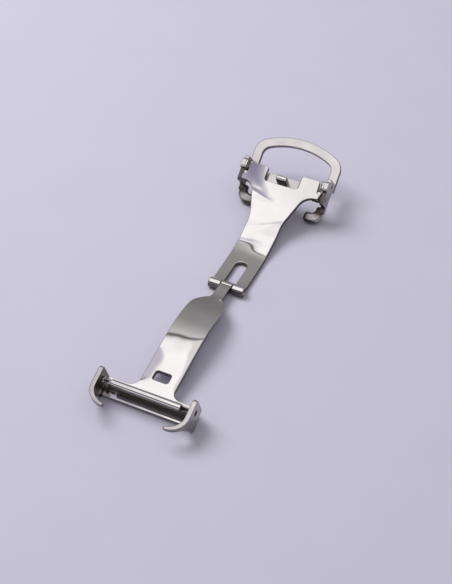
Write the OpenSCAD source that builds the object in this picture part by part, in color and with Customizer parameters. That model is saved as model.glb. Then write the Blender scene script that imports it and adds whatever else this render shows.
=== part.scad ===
// Single-fold deployant clasp for a leather watch strap, lying open on a table.
// Millimetres, +Z up. X runs across the strap, Y from the bar end to the loop end.
//
// Both blades follow one side profile, the interface line: it starts on the hinge axis,
// runs flat, bends once and ends straight. The upper blade lies below the line and the
// folded lower blade lies on it, so the two nest. The lower blade is drawn folded and is
// then swung open by fold_angle about the hinge.

/* [Overall] */
// Width over the ears, the side plates and the loop
clasp_w = 20; // [19:0.5:24]
// Thickness of the ears and the side plates
cheek_t = 1; // [0.8:0.05:1.2]
// Gap left between folded parts that come to lie on each other
nest_gap = 0.12; // [0.06:0.02:0.3]

/* [Blade profile] */
// Thickness of both blades
blade_t = 1.1; // [0.9:0.05:1.2]
// Length of the flat run from the hinge axis
flat_len = 10.4; // [9:0.2:14]
// Radius of the bend on the interface line
bend_r = 15; // [12:0.5:20]
// Angle of the bend
bend_angle = 28; // [24:1:30]
// Angle that the lower blade swings through from folded to open
fold_angle = 161.5; // [158:0.5:164]

/* [Hinge] */
// Outer diameter of the hinge knuckles
knuckle_d = 2.2; // [2.1:0.05:2.8]
// Width over both outer knuckles
knuckle_w = 7.64; // [6.6:0.1:9]
// Width of the lower blade's neck and its knuckle
neck_w = 2.4; // [1.8:0.1:3]
// Side gap between the neck and the outer knuckles
neck_gap = 0.1; // [0.05:0.01:0.2]
// Diameter of the hinge pin
hinge_pin_d = 1; // [0.8:0.05:1.2]
// Radial play of a pin in the bore that turns on it
pin_play = 0.04; // [0.02:0.01:0.08]

/* [Upper blade] */
// Width of the upper blade between the hinge and the wings
upper_w = 7.36; // [6.4:0.1:8.4]
// Distance from the hinge axis to the end of the slot for the neck
slot_len = 8.2; // [6.5:0.1:9]
// Straight length from the bend to the ends of the wings
upper_run = 14; // [13.4:0.1:16]
// Distance from the bend to the start of the flare
waist_run = 2.3; // [1:0.1:4]
// Flare of each edge from its start to the wing
flare_angle = 18; // [12:1:22]
// Radius between the flare and the wing's lower edge
flare_r = 3; // [2:0.1:3.6]
// Depth of the wings along the blade
wing_depth = 4.2; // [3.8:0.1:5]
// Depth of the pivot lobes at the wing ends
lobe_depth = 1.4; // [1.2:0.1:2]
// Step from the lobe's end in to the wing's notch
notch_step = 0.75; // [0.4:0.05:1]
// Width of the cut-out between the wings
cutout_w = 7.7; // [7:0.1:9]
// Depth of the cut-out from the wing ends
cutout_depth = 3.3; // [2.9:0.1:3.6]

/* [Lower blade] */
// Width of the lower blade
lower_w = 7.2; // [6:0.1:8]
// Radius of the shoulders between the neck and the full width
shoulder_r = 6.1; // [4.5:0.1:7]
// Straight length from the bend to the fold at the end plate
lower_run = 15.3; // [14.8:0.1:18]
// Bend between the blade's tail and the end plate
tail_bend = 10.5; // [6:0.5:12]
// Radius between the tail and the end plate
tail_r = 1.8; // [1:0.1:2.4]
// Distance from the bend to the middle of the catch window
window_run = 11.8; // [11.5:0.1:12.2]
// Width of the catch window
window_w = 3.26; // [2.8:0.1:4]
// Length of the catch window
window_len = 2.1; // [1.9:0.05:2.6]
// Corner radius of the catch window
window_r = 0.4; // [0.2:0.05:0.6]

/* [Bar end] */
// Length of the end plate, fold to lip
plate_len = 4; // [3.6:0.1:5]
// Thickness of the end plate
plate_t = 0.9; // [0.7:0.05:1.1]
// Height of the bar's axis above the end plate
bar_height = 2.85; // [2.35:0.05:3.2]
// Height of the ears' top edge above the bar's axis
ear_rise = 2.05; // [1.75:0.05:2.4]
// Distance from the bar's axis to the ears' rear edge
ear_back = 1.9; // [1.6:0.1:2.1]
// Distance from the bar's axis to the point where the horns start to curl in
horn_start = 1.8; // [1.4:0.1:2.2]
// Outer radius of the horns' curl
horn_r = 3.5; // [3:0.1:4]
// Half of the gap between the horns' tips
horn_reach = 6; // [5:0.1:6.6]
// Thickness of the horns at the tip
horn_tip_t = 0.5; // [0.4:0.05:0.8]

/* [Spring bar] */
// Diameter of the bar's tube
tube_d = 1.5; // [1.3:0.1:2]
// Length of the tube
tube_len = 14.1; // [13:0.1:15]
// Wall thickness of the tube
tube_wall = 0.25; // [0.2:0.01:0.3]
// Diameter of the sprung tips
tip_d = 0.8; // [0.7:0.05:0.9]
// Radial play of the tips in the tube's mouth and in the ears
tip_play = 0.04; // [0.02:0.01:0.08]
// Travel of each tip
tip_travel = 1.1; // [0.9:0.05:1.2]

/* [Frame] */
// Distance from the bend to the frame's pivot axis, along the wings
pivot_run = 10.86; // [10.7:0.02:11]
// Depth of the pivot axis below the wings' top
pivot_drop = 1.77; // [1.7:0.01:1.9]
// Diameter of the pivot pins
pivot_pin_d = 1.1; // [0.9:0.05:1.2]
// Side gap between the wing lobes and the side plates
side_gap = 0.15; // [0.1:0.01:0.25]
// Reach of the loop from the pivot axis
loop_reach = 12.1; // [11.6:0.1:14]
// Width of the loop's band
loop_band = 2; // [1.6:0.1:2.4]
// Thickness of the loop's band
loop_t = 1.3; // [1:0.1:1.6]
// Radius of the loop's outer corners
loop_corner = 3.2; // [2.6:0.1:4]
// Radius of the arched far side of the loop
loop_arch = 18.4; // [15:0.2:30]
// Reach of the claws from the pivot axis towards the hinge
claw_reach = 4.95; // [4.8:0.05:5.1]
// Half of the gap between the claws' tips
claw_gap = 5.8; // [5.7:0.1:6.4]
// Width of each claw's finger
claw_w = 1.85; // [1.6:0.05:1.9]
// Thickness of the claws
claw_t = 1.5; // [1.2:0.1:1.7]

/* [Catch and strap peg] */
// Thickness of the cross plate
cross_t = 0.9; // [0.8:0.05:1]
// Reach of the cross plate past the pivot axis, along the wings
deck_far = 2.35; // [2.2:0.05:2.45]
// Distance from the pivot axis to the rivets, along the wings
rivet_run = 3.67; // [3.6:0.01:3.7]
// Depth of the rivets below the pivot axis
rivet_drop = 1.13; // [1.1:0.01:1.2]
// Thickness of the catch plate on the cross plate
catch_plate_t = 0.45; // [0.35:0.05:0.5]
// Gap between the catch plate and the underside of the wings
catch_gap = 0.2; // [0.15:0.01:0.3]
// Width of the catch stud
stud_w = 2.4; // [2:0.1:2.8]
// Thickness of the catch stud along the blade
stud_t = 1.1; // [0.9:0.05:1.2]
// Height of the catch stud above the wings
stud_rise = 1.3; // [1.1:0.1:1.6]
// Diameter of the strap peg
peg_d = 1.6; // [1.3:0.1:2]
// Length of the strap peg
peg_len = 2.9; // [2:0.1:3.2]
// Diameter of the rivets
rivet_d = 1; // [0.8:0.1:1.2]

/* [Hidden] */
$fn = 64;
eps = 0.02;
half = clasp_w / 2;
inner = half - cheek_t;
knuckle_r = knuckle_d / 2;
hinge_z = knuckle_r;
hinge = [0, hinge_z];

// Interface line, measured from the hinge axis as [y, z]
function rot2(v, a) = [v.x * cos(a) - v.y * sin(a), v.x * sin(a) + v.y * cos(a)];
bend_end = [flat_len + bend_r * sin(bend_angle), bend_r * (1 - cos(bend_angle))];
function on_run(s, up = 0) = bend_end + rot2([s, up], bend_angle);

// Bar end: slope of its plate when open, and its axis folded and open
plate_slope = fold_angle + bend_angle + tail_bend - 180;
frame_slope = bend_angle + tail_bend;
fold_line = on_run(lower_run, nest_gap);
bar_folded = fold_line + rot2([plate_len / 2, -bar_height], frame_slope);
bar_open = rot2(bar_folded, fold_angle) + hinge;

// Frame pivot, and the folded bar as seen from it along and square to the loop
pivot = on_run(pivot_run, -pivot_drop) + hinge;
bar_seen = rot2(bar_folded + hinge - pivot, -frame_slope);
loop_top = bar_seen.y - ear_rise - 2 * nest_gap;
plate_far = bar_seen.x - ear_back - 2 * nest_gap;
claw_low = -(pivot.y - claw_reach * sin(frame_slope)) / cos(frame_slope);
claw_x = half - 0.15;

// The ears stand on the table with this point
foot_y = -1.9;
foot_z = -(bar_open.y + foot_y * sin(plate_slope)) / cos(plate_slope);

// Centre of the whole clasp along Y
far_y = pivot.x + loop_reach * cos(frame_slope) - (loop_top - loop_t) * sin(frame_slope);
near_y = bar_open.x - (horn_start + horn_r) * cos(plate_slope) - ear_rise * sin(plate_slope);
mid_y = (far_y + near_y) / 2;

polished = [0.78, 0.78, 0.80];
satin = [0.85, 0.83, 0.82];
bright = [0.70, 0.70, 0.72];

// Placing helpers

module centred() {
    translate([0, -mid_y, 0]) children();
}

module at_hinge() {
    centred() translate([0, 0, hinge_z]) children();
}

module opened() {
    at_hinge() rotate([fold_angle, 0, 0]) children();
}

module on_slope(origin, slope) {
    translate([0, origin.x, origin.y]) rotate([slope, 0, 0]) children();
}

module at_bar() {
    centred() on_slope(bar_open, plate_slope) children();
}

module at_pivot(slope) {
    centred() on_slope(pivot, slope) children();
}

// A side view [y, z] extruded across the strap
module across(w) {
    rotate([90, 0, 90]) linear_extrude(w, center = true) children();
}

// A side view extruded from x0 to x1
module slab(x0, x1) {
    translate([x0, 0, 0]) rotate([90, 0, 90]) linear_extrude(x1 - x0) children();
}

// A round bar along X from x0 to x1
module rod(d, x0, x1) {
    translate([x0, 0, 0]) rotate([0, 90, 0]) cylinder(d = d, h = x1 - x0);
}

module both_sides() {
    children();
    mirror([1, 0, 0]) children();
}

module block(lo, hi) {
    translate(lo) cube(hi - lo);
}

// Rectangle with four rounded corners
module rounded(lo, hi, r) {
    translate([lo.x + r, lo.y]) square([hi.x - lo.x - 2 * r, hi.y - lo.y]);
    translate([lo.x, lo.y + r]) square([hi.x - lo.x, hi.y - lo.y - 2 * r]);
    for (x = [lo.x + r, hi.x - r])
        for (y = [lo.y + r, hi.y - r])
            translate([x, y]) circle(r);
}

function arc(c, r, a0, a1, n) = [for (i = [0:n]) let (a = a0 + (a1 - a0) * i / n)
    c + r * [cos(a), sin(a)]];

function reversed(v) = [for (i = [len(v) - 1:-1:0]) v[i]];

// The interface line, offset upwards by up, from y0 on the flat to s1 on the straight run
function offset_line(up, y0, s1) = concat([[y0, up]],
    arc([flat_len, bend_r], bend_r - up, -90, bend_angle - 90, 28), [on_run(s1, up)]);

// Side view of a blade between two offsets from the interface line
module blade_side(lo, hi, y0, s1) {
    polygon(concat(offset_line(lo, y0, s1), reversed(offset_line(hi, y0, s1))));
}

// Upper blade

wing_foot = upper_run - wing_depth;
lobe_x = inner - side_gap;
flare_c = [upper_w / 2 + (flare_r + (wing_foot - flare_r - waist_run) * sin(flare_angle))
    / cos(flare_angle), wing_foot - flare_r];
flare_t = flare_c - flare_r * [cos(flare_angle), -sin(flare_angle)];

// Plan of the right half of the blade, seen square to the wings, y from the end of the bend
module wing_plan() {
    difference() {
        polygon([[-eps, -2 * flat_len - bend_r], [upper_w / 2, -2 * flat_len - bend_r],
            [upper_w / 2, waist_run], flare_t, flare_c, [flare_c.x, wing_foot],
            [flare_c.x, upper_run - 1], [-eps, upper_run - 1]]);
        translate(flare_c) circle(flare_r);
    }
    rounded([0, wing_foot], [lobe_x, wing_foot + lobe_depth], 0.5);
    polygon([[0, wing_foot + lobe_depth / 2], [lobe_x - notch_step, wing_foot + lobe_depth / 2],
        [lobe_x - notch_step - 0.2, upper_run], [0, upper_run]]);
}

module cutout_plan() {
    rounded([-cutout_w / 2, upper_run - cutout_depth], [cutout_w / 2, upper_run + 2], 0.5);
}

lug_r = pivot_drop - blade_t + 0.35;
lug_x = inner - side_gap - 1.55;

module upper_blade() {
    color(polished) at_hinge() difference() {
        union() {
            across(knuckle_w) circle(knuckle_r);
            intersection() {
                across(clasp_w) blade_side(-blade_t, 0, 0, upper_run);
                on_slope(bend_end, bend_angle) translate([0, 0, -bend_r])
                    linear_extrude(3 * bend_r) both_sides() wing_plan();
            }
            on_slope(bend_end, bend_angle) {
                both_sides() slab(lug_x, lobe_x) translate([pivot_run, 0]) {
                    translate([0, -pivot_drop]) circle(lug_r);
                    translate([-lug_r, -pivot_drop]) square([2 * lug_r, pivot_drop - blade_t / 2]);
                }
            }
        }
        block([-neck_w / 2 - neck_gap, -2 * knuckle_r, -2 * knuckle_r],
            [neck_w / 2 + neck_gap, slot_len - neck_w / 2 - neck_gap, 2 * knuckle_r]);
        translate([0, slot_len - neck_w / 2 - neck_gap, -2 * knuckle_r])
            cylinder(d = neck_w + 2 * neck_gap, h = 4 * knuckle_r);
        rod(hinge_pin_d + eps, -half, half);
        on_slope(bend_end, bend_angle) {
            translate([0, 0, -2 * blade_t]) linear_extrude(3 * blade_t) cutout_plan();
            translate([0, pivot_run, -pivot_drop]) rod(pivot_pin_d + 2 * pin_play, -half, half);
        }
    }
}

module hinge_pin() {
    color(bright) at_hinge() rod(hinge_pin_d, -knuckle_w / 2 + 0.15, knuckle_w / 2 - 0.15);
}

// Lower blade, drawn folded: plan as [x, distance from the hinge]

neck_fillet = 1.5;
shoulder_c = [lower_w / 2 - shoulder_r, flat_len];
fillet_c = [neck_w / 2 + neck_fillet, flat_len - sqrt(pow(shoulder_r + neck_fillet, 2)
    - pow(neck_w / 2 + neck_fillet - shoulder_c.x, 2))];
fillet_t = shoulder_c + (fillet_c - shoulder_c) * shoulder_r / (shoulder_r + neck_fillet);

module shoulder_plan() {
    translate([-neck_w / 2, 0]) square([neck_w, fillet_t.y + 0.5]);
    intersection() {
        translate(shoulder_c) circle(shoulder_r);
        translate([-shoulder_c.x, shoulder_c.y]) circle(shoulder_r);
    }
    both_sides() difference() {
        polygon([[0, fillet_c.y], fillet_c, fillet_t, [0, fillet_t.y]]);
        translate(fillet_c) circle(neck_fillet);
    }
}

// Fillets that run out from the tail to the end plate
module tail_plan() {
    both_sides() difference() {
        translate([0, lower_run - tail_r]) square([lower_w / 2 + tail_r, tail_r]);
        translate([lower_w / 2 + tail_r, lower_run - tail_r]) circle(tail_r);
    }
}

module lower_blade() {
    color(polished) opened() difference() {
        union() {
            across(neck_w) circle(knuckle_r);
            intersection() {
                across(lower_w) blade_side(nest_gap, nest_gap + blade_t, 0, lower_run);
                linear_extrude(bend_r) {
                    shoulder_plan();
                    translate([-lower_w, flat_len]) square([2 * lower_w, 2 * lower_run + bend_r]);
                }
            }
            on_slope(bend_end, bend_angle)
                translate([0, 0, nest_gap]) linear_extrude(blade_t) tail_plan();
            on_slope(fold_line, frame_slope)
                block([-inner, 0, 0], [inner, plate_len, plate_t]);
        }
        rod(hinge_pin_d + 2 * pin_play, -half, half);
        on_slope(bend_end, bend_angle)
            translate([0, window_run, nest_gap - blade_t]) linear_extrude(3 * blade_t)
                rounded([-window_w / 2, -window_len / 2], [window_w / 2, window_len / 2],
                    window_r);
    }
}

// Ears: plan [x, y] and side view [y, z] about the bar's axis, y towards the hinge

horn_c = [half - horn_r, -horn_start];
horn_tip = horn_c.y - sqrt(pow(horn_r, 2) - pow(horn_reach - horn_c.x, 2));
curl_r = horn_r + 0.7;
curl_c = [inner - curl_r, horn_tip + horn_tip_t
    + sqrt(pow(curl_r, 2) - pow(horn_reach - inner + curl_r, 2))];

module ear_plan() {
    translate([inner, curl_c.y - 0.1]) square([cheek_t, ear_back - curl_c.y + 0.1]);
    difference() {
        union() {
            intersection() {
                translate(horn_c) circle(horn_r);
                translate([horn_reach, -4 * horn_r]) square([2 * horn_r, 4 * horn_r]);
            }
            translate([horn_reach, -horn_start - eps])
                square([half - horn_reach, horn_start + curl_c.y]);
        }
        translate(curl_c) circle(curl_r);
        translate([0, curl_c.y]) square([2 * half, clasp_w]);
    }
}

module ear_side() {
    polygon([[ear_back, ear_rise], [ear_back, -bar_height + 0.2], [foot_y + 0.6, foot_z + 0.35],
        [foot_y, foot_z], [foot_y - 0.7, foot_z + 0.5], [-horn_start - 1.6, -1.2],
        [-horn_start - 2.4, ear_rise - 1.5], [-horn_start - horn_r - 1, ear_rise - 0.7],
        [-horn_start - horn_r - 1, ear_rise]]);
}

module ear() {
    color(satin) at_bar() difference() {
        intersection() {
            translate([0, 0, -half]) linear_extrude(clasp_w) ear_plan();
            slab(0, clasp_w) ear_side();
        }
        block([-inner, -plate_len / 2, -bar_height - plate_t], [inner, plate_len / 2, -bar_height]);
        rod(tip_d + 2 * tip_play, inner - 1, half + 1);
    }
}

module ear_right() {
    ear();
}

module ear_left() {
    mirror([1, 0, 0]) ear();
}

// Spring bar

tip_end = half - 0.15;
mouth_t = 0.4;
shoulder_l = 0.8;

module bar_tube() {
    color(polished) at_bar() difference() {
        rod(tube_d, -tube_len / 2, tube_len / 2);
        rod(tube_d - 2 * tube_wall, -tube_len / 2 + mouth_t, tube_len / 2 - mouth_t);
        rod(tip_d + 2 * tip_play, -tube_len, tube_len);
    }
}

module tip() {
    color(bright) at_bar() {
        rod(tip_d, tube_len / 2 - mouth_t - shoulder_l, tip_end);
        rod(tube_d - 2 * tube_wall - 2 * tip_play, tube_len / 2 - mouth_t - shoulder_l,
            tube_len / 2 - mouth_t);
        rod(tip_d + 0.4, inner - 0.45, inner - 0.1);
    }
}

module bar_tip_right() {
    tip();
}

module bar_tip_left() {
    mirror([1, 0, 0]) tip();
}

module bar_spring() {
    reach = tube_len / 2 - mouth_t - shoulder_l;
    color(bright) at_bar() difference() {
        rod(tube_d - 2 * tube_wall - 3 * tip_play, -reach, reach);
        rod(tube_d - 2 * tube_wall - 0.4, -half, half);
    }
}

// Frame: side plates, loop, cross plate and catch, about the pivot axis

arch_c = loop_reach - loop_arch;
corner_c = [half - loop_corner, arch_c
    + sqrt(pow(loop_arch - loop_corner, 2) - pow(half - loop_corner, 2))];
inner_corner = loop_corner - 1.2;
inner_arch = loop_arch - loop_band;
inner_corner_c = [half - loop_band - inner_corner, arch_c
    + sqrt(pow(inner_arch - inner_corner, 2) - pow(half - loop_band - inner_corner, 2))];
arm_start = plate_far - 1.6;

// Outline with two straight sides, two corner arcs and an arched far side
module loop_plan(w, arch, corner, c, y0) {
    turn = atan2(c.y - arch_c, c.x);
    polygon(concat([[-w / 2, y0], [w / 2, y0]], arc(c, corner, 0, turn, 12),
        arc([0, arch_c], arch, turn, 180 - turn, 24),
        arc([-c.x, c.y], corner, 180 - turn, 180, 12)));
}

module buckle_loop() {
    color(satin) at_pivot(frame_slope) translate([0, 0, loop_top - loop_t])
        linear_extrude(loop_t) difference() {
            loop_plan(clasp_w, loop_arch, loop_corner, corner_c, arm_start);
            loop_plan(clasp_w - 2 * loop_band, inner_arch, inner_corner, inner_corner_c,
                arm_start - 1);
        }
}

// Side plate with its claw, on the right
module side_plate() {
    near = -1.15;
    top = 0.55;
    color(satin) at_pivot(frame_slope) difference() {
        union() {
            slab(inner, half) polygon([[near, top - 0.4], [near + 0.4, top], [1.5, top],
                [1.7, 1.75], [3.55, 1.5], [3.8, top], [plate_far, top - 0.3],
                [plate_far, loop_top], [arm_start, loop_top], [1.2, loop_top + 0.75],
                [-1.6, claw_low + 0.3], [-2.2, claw_low], [-2.6, claw_low + claw_t],
                [near - 0.35, claw_low + claw_t + 0.1], [near, claw_low + claw_t + 1]]);
            slab(inner - 0.4, inner + eps) polygon([[1.7, 0.3], [1.7, 1.75], [3.55, 1.5],
                [3.55, 0.3]]);
            translate([0, 0, claw_low]) linear_extrude(claw_t) claw_plan();
        }
        rod(pivot_pin_d + eps, inner - 1, half + 1);
        on_slope([0, 0], -tail_bend) translate([0, rivet_at.x, rivet_at.y])
            rod(rivet_d + eps, inner - 1, half + 1);
    }
}

module claw_plan() {
    leg_x = inner - 1;
    difference() {
        union() {
            intersection() {
                rounded([claw_gap - 4, -claw_reach], [claw_x, 6], 2.3);
                translate([claw_gap + 0.6, -claw_reach]) square([half, claw_reach - 1.1]);
            }
            rounded([claw_gap, -claw_reach], [leg_x, claw_w - claw_reach], 0.6);
        }
        rounded([claw_gap - 4, claw_w - claw_reach], [leg_x, 4], 0.9);
    }
}

module side_plate_right() {
    side_plate();
}

module side_plate_left() {
    mirror([1, 0, 0]) side_plate();
}

// Deck: the cross plate lies parallel to the wings, under them

deck_top = pivot_drop - blade_t - catch_gap;
cross_top = deck_top - catch_plate_t;
deck_near = 0.1;
stud_at = window_run - pivot_run;
rivet_at = [rivet_run, -rivet_drop];
flange_t = cheek_t;

module cross_plate() {
    color(satin) at_pivot(bend_angle) difference() {
        union() {
            block([-lug_x + 0.15, deck_near, cross_top - cross_t], [lug_x - 0.15, deck_far,
                cross_top]);
            block([-inner, lug_r + 0.25, cross_top - cross_t], [inner, deck_far, cross_top]);
            both_sides() slab(inner - flange_t, inner) polygon([[lug_r + 0.25, cross_top],
                [lug_r + 0.25, cross_top - cross_t], [rivet_at.x - 0.6, rivet_at.y - 0.9],
                [rivet_at.x + 0.55, rivet_at.y - 0.7], [rivet_at.x + 0.55, rivet_at.y + 0.6],
                [deck_far, cross_top]]);
        }
        translate([0, rivet_at.x, rivet_at.y]) rod(rivet_d + eps, -half, half);
        translate([0, stud_at, cross_top - 2]) cylinder(d = peg_d - 0.6 + eps, h = 3);
    }
}

module catch_plate() {
    color(satin) at_pivot(bend_angle) difference() {
        block([-cutout_w / 2 + 0.35, deck_near, cross_top], [cutout_w / 2 - 0.35, deck_far - 0.1,
            deck_top]);
        block([-stud_w / 2, stud_at - stud_t / 2, cross_top - 1],
            [stud_w / 2, stud_at + stud_t / 2, deck_top + 1]);
    }
}

module catch_stud() {
    top = pivot_drop + stud_rise;
    color(polished) at_pivot(bend_angle) {
        block([-stud_w / 2, stud_at - stud_t / 2, cross_top],
            [stud_w / 2, stud_at + stud_t / 2, top - stud_t / 2]);
        translate([0, stud_at, top - stud_t / 2]) rod(stud_t, -stud_w / 2, stud_w / 2);
    }
}

// Peg for the strap's holes: a shank riveted in the cross plate and a domed end
module strap_peg() {
    color(polished) at_pivot(bend_angle) translate([0, stud_at, cross_top - cross_t]) {
        cylinder(d = peg_d - 0.6, h = cross_t);
        translate([0, 0, -peg_len + peg_d / 2]) cylinder(d = peg_d, h = peg_len - peg_d / 2);
        translate([0, 0, -peg_len + peg_d / 2]) sphere(d = peg_d);
    }
}

module pivot_pin() {
    color(bright) at_pivot(0) rod(pivot_pin_d, lug_x + 0.1, half - 0.1);
}

module pivot_pin_right() {
    pivot_pin();
}

module pivot_pin_left() {
    mirror([1, 0, 0]) pivot_pin();
}

module rivet() {
    color(bright) at_pivot(bend_angle) translate([0, rivet_at.x, rivet_at.y]) {
        rod(rivet_d, inner - flange_t, half - 0.1);
        rod(rivet_d + 0.5, inner - flange_t - 0.25, inner - flange_t);
    }
}

module rivet_right() {
    rivet();
}

module rivet_left() {
    mirror([1, 0, 0]) rivet();
}

upper_blade();
lower_blade();
hinge_pin();
ear_left();
ear_right();
bar_tube();
bar_spring();
bar_tip_left();
bar_tip_right();
side_plate_left();
side_plate_right();
buckle_loop();
cross_plate();
catch_plate();
catch_stud();
strap_peg();
pivot_pin_left();
pivot_pin_right();
rivet_left();
rivet_right();
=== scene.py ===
# %% [markdown]
# # A folding clasp for a watch strap, in polished and satin steel
# The clasp lies open on a pale table. Two curved blades meet at a small hinge. One blade
# carries a sprung bar between two horned ears, the other a tilting loop with a stud and a peg.
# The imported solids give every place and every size; this script gives the same pieces their
# rolled edges, their soft bends and their finish.

import bpy
import numpy as np
from mathutils import Matrix, Vector
from mathutils.geometry import delaunay_2d_cdt


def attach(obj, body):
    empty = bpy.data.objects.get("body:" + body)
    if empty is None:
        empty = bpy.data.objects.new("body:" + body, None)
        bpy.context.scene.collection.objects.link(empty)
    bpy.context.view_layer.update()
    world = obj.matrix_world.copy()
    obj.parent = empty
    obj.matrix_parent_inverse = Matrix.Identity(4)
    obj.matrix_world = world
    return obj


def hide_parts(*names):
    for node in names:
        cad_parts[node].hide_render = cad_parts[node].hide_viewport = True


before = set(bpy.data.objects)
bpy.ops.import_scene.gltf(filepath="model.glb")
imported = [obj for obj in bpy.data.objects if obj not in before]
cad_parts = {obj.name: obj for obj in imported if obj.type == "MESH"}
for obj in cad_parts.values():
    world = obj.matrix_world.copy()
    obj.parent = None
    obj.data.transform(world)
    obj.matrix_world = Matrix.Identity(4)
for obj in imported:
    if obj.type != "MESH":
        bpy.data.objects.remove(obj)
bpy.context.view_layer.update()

# %% [markdown]
# ## The camera
# The photograph looks down at 44 degrees from the bar end's right. A camera can be aimed at a
# target object, but here its place, directions and long lens were worked out from pairs of
# points on the clasp, so the directions are set as a matrix.

# %% Camera
CAMERA_AT = (0.07098, -0.16017, 0.17055)
LENS_MM, SENSOR_MM = 74.42, 36.0
right = np.array([0.9079, 0.4188, 0.0147])
ahead = np.array([-0.2905, 0.6542, -0.6983])
right, ahead = right / np.linalg.norm(right), ahead / np.linalg.norm(ahead)
up = np.cross(right, ahead)
axes = np.stack([right, up, -ahead], 1)
camera = bpy.data.objects.new("camera", bpy.data.cameras.new("camera"))
bpy.context.scene.collection.objects.link(camera)
camera.matrix_world = Matrix.Translation(CAMERA_AT) @ Matrix(axes.tolist()).to_4x4()
camera.data.lens, camera.data.sensor_width = LENS_MM, SENSOR_MM
camera.data.clip_start, camera.data.clip_end = 0.01, 10.0
bpy.context.scene.camera = camera
bpy.context.scene.view_settings.view_transform = "Standard"
print("camera up:", up.round(3))

# %% [markdown]
# ## The sizes that the pieces share
# These repeat named sizes of the part's source, in millimetres. They could be measured on the
# solids, but names keep the outlines readable. A place in the side view is (y, z). The blades
# are described flat, before bending: x across the strap, s along it from the hinge.

# %% Shared sizes
MM = 0.001
HALF = 10.0  # half of the clasp's width
INSIDE = 8.98  # half of the room between the side plates, or the ears
UPPER_HALF, LOWER_HALF = 3.68, 3.6
BLADE, BLADE_EDGE = 1.1, 0.16  # sheet thickness, and the radius of its rolled edge
HINGE, BARREL = np.array([0.0083, 1.1]), 1.1
FOLD = np.radians(161.5)
BEND_END = 10.4 + 15.0 * np.radians(28.0)
BAR = np.array([-35.0140, 4.3199])
PIVOT = np.array([27.8702, 6.3914])
PLATE_SLOPE, DECK_SLOPE, FRAME_SLOPE = np.radians([20.0, 28.0, 38.5])
LOOP_TOP, PLATE_FAR, CLAW_LOW = -4.091, 4.570, -4.229
LOOP_START = 2.97
print("straight runs start %.2f mm from the hinge" % BEND_END)

# %% [markdown]
# ## Outlines
# Stamped sheet has an outline of straight lines and arcs. A curve object could draw it, but its
# corners would have to be bevelled one by one. Here corners and radii become a ring of points,
# with the direction that faces out of the metal at each. The direction is needed twice: to
# roll the edge, and to shade it.


# %% Rounded outlines
ARC_STEP = np.radians(7)


def outline(corners, radii, pitch, edge=0.0):
    """Ring of points and outward directions. Each corner between two straight sides becomes the
    arc that touches both: it starts radius x tan(half the turn) before the corner, and its
    centre lies a radius to the side of that point. Straight sides are cut in equal steps no
    longer than pitch. An outer corner is rounded at least as much as the edge that will be
    rolled in from it."""
    c = np.array(corners, float)
    radii = np.broadcast_to(np.array(radii, float), len(c))
    before, after = c - np.roll(c, 1, 0), np.roll(c, -1, 0) - c
    before /= np.linalg.norm(before, axis=1)[:, None]
    after /= np.linalg.norm(after, axis=1)[:, None]
    turn = np.arctan2(before[:, 0] * after[:, 1] - before[:, 1] * after[:, 0],
                      (before * after).sum(1))
    radii = np.where(turn > 0, np.maximum(radii, 1.05 * edge), radii)
    cut = np.abs(radii * np.tan(turn / 2))
    start, stop = c - before * cut[:, None], c + after * cut[:, None]
    points, normals = [], []
    for i in range(len(c)):
        side = np.array([before[i, 1], -before[i, 0]])
        count = max(2, int(np.ceil(abs(turn[i]) / ARC_STEP)) + 1)
        t = np.linspace(0, turn[i], count)[:, None]
        arc = np.cos(t) * side + np.sin(t) * before[i]
        swing = radii[i] * np.sign(turn[i])
        points.append(start[i] - side * swing + arc * swing)
        normals.append(arc)
        gap = start[(i + 1) % len(c)] - stop[i]
        length = np.linalg.norm(gap)
        count = int(np.ceil(length / pitch))
        if count > 1 and length > 1e-6:
            t = (np.arange(1, count) / count)[:, None]
            points.append(stop[i] + gap * t)
            normals.append(np.repeat([[after[i, 1], -after[i, 0]]], count - 1, 0))
    p, n = np.concatenate(points), np.concatenate(normals)
    keep = np.linalg.norm(p - np.roll(p, 1, 0), axis=1) > 1e-5
    return p[keep], n[keep]


def hole_ring(x, y, r, count=32):
    """Ring of a round hole: centre + radius (cos, sin) of the angle, taken clockwise. Out of
    the metal is towards the centre."""
    a = -np.linspace(0, 2 * np.pi, count, endpoint=False)
    d = np.stack([np.cos(a), np.sin(a)], 1)
    return np.array([x, y]) + r * d, -d


def mirrored_corners(corners, radii):
    """A right half, given upwards from the middle line's lower end, and its mirror image."""
    left = [(-x, y) for x, y in corners[::-1]]
    return corners + left, radii + radii[::-1]


square = outline([(0, 0), (4, 0), (4, 4), (0, 4)], 1.0, 0.5)
print("a rounded 4 mm square:", len(square[0]), "points")

# %% [markdown]
# ## Skins over rows of points
# A plate's wall, a pin and a coil are all rows of points, each row a ring. Spin could make
# some of them, but without shading directions computed from the shape, so the rows are
# numbered here and joined by squares.


# %% Skins
def wrapped(rows, columns, closed=False):
    """Squares between points that are numbered row by row. The last column joins the first,
    and where closed the last row joins the first too."""
    i, j = np.meshgrid(np.arange(rows if closed else rows - 1), np.arange(columns), indexing="ij")
    k, l = (i + 1) % rows * columns, (j + 1) % columns
    i = i * columns
    return np.stack([i + j, k + j, k + l, i + l], -1).reshape(-1, 4)


def fans(rows, columns):
    """Triangles that close the first and the last row, each on a pole. The two poles are the
    points after the last row."""
    j = np.arange(columns)
    l, base, pole = (j + 1) % columns, (rows - 1) * columns, rows * columns + 0 * j
    return np.concatenate([np.stack([pole, j, l], 1),
                           np.stack([pole + 1, base + l, base + j], 1)])


def facing_out(verts, norms, quads, tris):
    """The skin, with its faces turned round if they point against its directions."""
    a, b, c = (verts[quads[:, i]] for i in range(3))
    if (np.cross(b - a, c - b) * norms[quads[:, 0]]).sum() < 0:
        quads, tris = quads[:, ::-1], tris[:, ::-1]
    return verts, norms, quads, tris


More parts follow.
